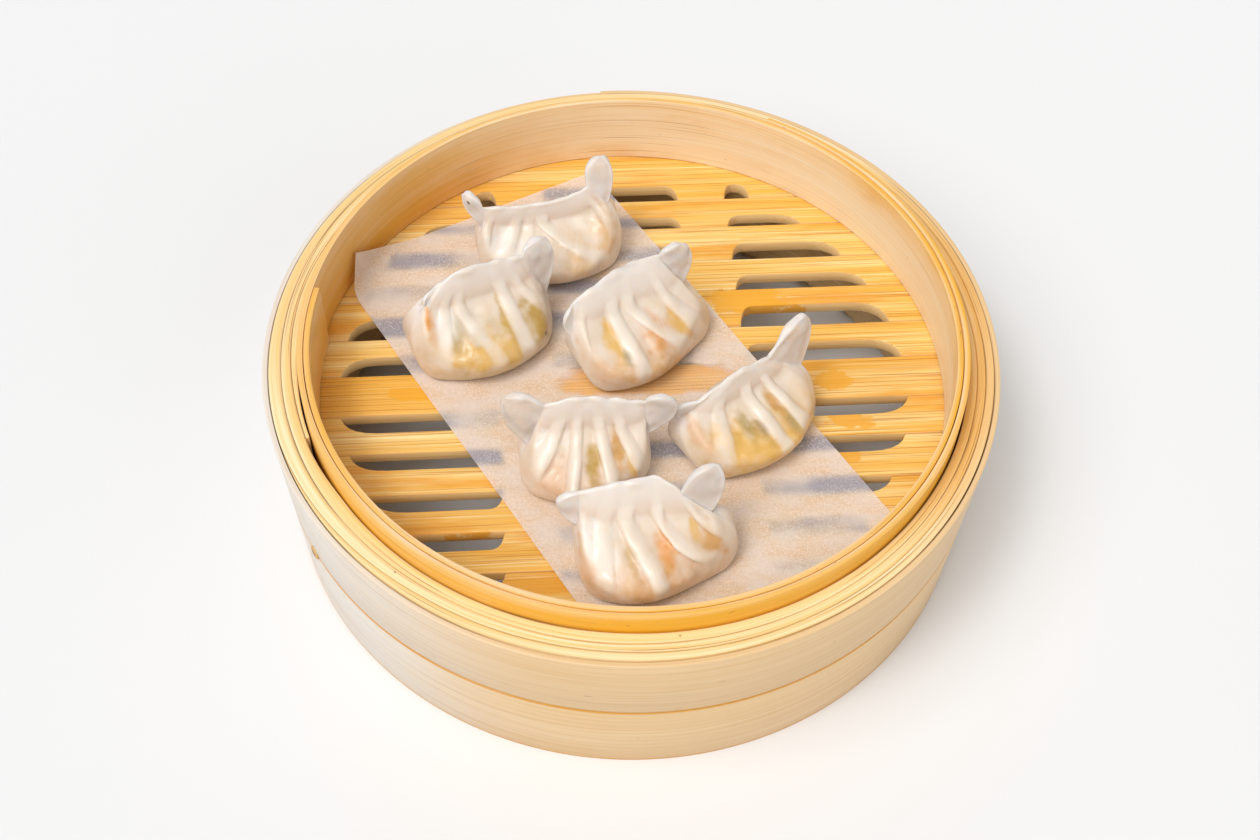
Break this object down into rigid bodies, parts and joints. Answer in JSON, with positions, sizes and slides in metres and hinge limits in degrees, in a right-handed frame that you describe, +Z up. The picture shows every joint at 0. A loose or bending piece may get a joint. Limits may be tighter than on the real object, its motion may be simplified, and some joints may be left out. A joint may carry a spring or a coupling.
{
  "type": "steamer basket of vegetable dumplings",
  "caption": "Round bamboo steamer basket with a slatted, slotted floor, a slanting paper liner and pleated vegetable dumplings with pinched ears, ready to serve or stack.",
  "frame": {"origin": "middle of the basket's underside, on the surface that it stands on", "axes": "+Z up; -Y towards the side that the dumplings' pleats face; +X to the right seen from there"},
  "size_m": [0.2538, 0.2538, 0.0882],
  "materials": {
    "bamboo_band": "smooth planed bamboo",
    "bamboo_wall": "smooth planed bamboo",
    "bamboo_floor": "damp planed bamboo",
    "bamboo_hoop": "smooth planed bamboo",
    "bamboo_peg": "split bamboo",
    "parchment": "frosted translucent",
    "dumpling_skin": "moist translucent starch skin"
  },
  "bodies": {
    "root": {"outer_band_upper": "bamboo_band", "outer_band_lower": "bamboo_band", "band_peg": "bamboo_peg", "wall_hoop": "bamboo_wall", "support_hoop": "bamboo_hoop", "floor_board_01": "bamboo_floor", "floor_board_02": "bamboo_floor", "floor_board_03": "bamboo_floor", "floor_board_04": "bamboo_floor", "floor_board_05": "bamboo_floor", "floor_board_06": "bamboo_floor", "floor_board_07": "bamboo_floor", "floor_board_08": "bamboo_floor", "floor_board_09": "bamboo_floor", "floor_board_10": "bamboo_floor", "floor_board_11": "bamboo_floor", "floor_board_12": "bamboo_floor", "inner_hoop": "bamboo_hoop", "paper_liner": "parchment", "dumpling_1": "dumpling_skin", "dumpling_2": "dumpling_skin", "dumpling_3": "dumpling_skin", "dumpling_4": "dumpling_skin", "dumpling_5": "dumpling_skin", "dumpling_6": "dumpling_skin"}
  },
  "joints": []
}
